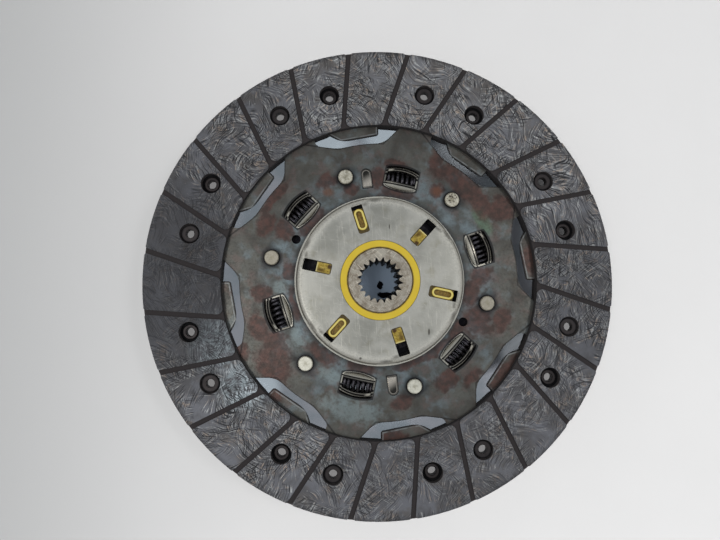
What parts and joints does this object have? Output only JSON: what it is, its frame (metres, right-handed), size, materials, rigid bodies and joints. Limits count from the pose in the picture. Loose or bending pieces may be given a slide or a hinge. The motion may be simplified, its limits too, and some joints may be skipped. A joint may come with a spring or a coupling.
{
  "type": "clutch disc",
  "caption": "Dry friction clutch disc with riveted grooved linings on a cushion disc, a coil-spring main damper, an idle damper under a pressed cap and a splined hub.",
  "frame": {"origin": "on the hub axis, in the middle of the cushion disc's sheet, halfway between the two linings", "axes": "+Z along the hub axis, out of the capped side; +X and +Y lie in the plane of the disc"},
  "size_m": [0.22, 0.22, 0.0263],
  "materials": {
    "lining": "pressed resin and fibre friction material, polished by use",
    "lining_rivet": "dull, brown",
    "tempered_sheet": "heat-tinted spring steel with brown patches",
    "plate_steel": "phosphated, satin",
    "pin_steel": "bright turned heads",
    "coil_steel": "oiled black",
    "cap_steel": "satin, finely scratched",
    "hub_steel": "turned, worn",
    "cage_plastic": "yellow polyamide, stained inside",
    "friction_plastic": "dark moulded"
  },
  "bodies": {
    "disc": {"front_lining": "lining", "rear_lining": "lining", "front_lining_rivets": "lining_rivet", "rear_lining_rivets": "lining_rivet", "cushion_disc": "tempered_sheet", "drive_plate": "plate_steel", "counter_plate": "plate_steel", "stop_pins": "pin_steel", "front_friction_ring": "friction_plastic", "rear_friction_washer": "friction_plastic", "diaphragm_spring": "plate_steel", "rear_bush": "friction_plastic"},
    "flange": {"hub_flange": "hub_steel", "idle_cage": "cage_plastic", "cap": "cap_steel"},
    "hub": {"hub": "hub_steel", "idle_plate": "plate_steel"},
    "main_springs": {"damper_spring_1": "coil_steel", "damper_spring_2": "coil_steel", "damper_spring_3": "coil_steel", "damper_spring_4": "coil_steel", "damper_spring_5": "coil_steel", "damper_spring_6": "coil_steel"},
    "idle_springs": {"idle_spring_1": "coil_steel", "idle_spring_2": "coil_steel", "idle_spring_3": "coil_steel"}
  },
  "joints": [
    {"name": "main_damper", "type": "hinge", "parent": "disc", "child": "flange", "pos_m": [0, 0, 0], "axis": [0, 0, 1], "range_deg": [-4.2, 4.2], "stiffness_Nm_per_rad": 3},
    {"name": "idle_damper", "type": "hinge", "parent": "flange", "child": "hub", "pos_m": [0, 0, 0], "axis": [0, 0, 1], "range_deg": [-4, 4], "stiffness_Nm_per_rad": 0.5},
    {"name": "main_spring_follow", "type": "hinge", "parent": "disc", "child": "main_springs", "pos_m": [0, 0, 0], "axis": [0, 0, 1], "range_deg": [-2.1, 2.1], "deforming": ["damper_spring_1", "damper_spring_2", "damper_spring_3", "damper_spring_4", "damper_spring_5", "damper_spring_6"]},
    {"name": "idle_spring_follow", "type": "hinge", "parent": "flange", "child": "idle_springs", "pos_m": [0, 0, 0], "axis": [0, 0, 1], "range_deg": [-2, 2], "deforming": ["idle_spring_1", "idle_spring_2", "idle_spring_3"]}
  ],
  "couplings": [
    {"joint": "main_spring_follow", "follows": "main_damper", "ratio": 0.5},
    {"joint": "idle_spring_follow", "follows": "idle_damper", "ratio": 0.5}
  ]
}
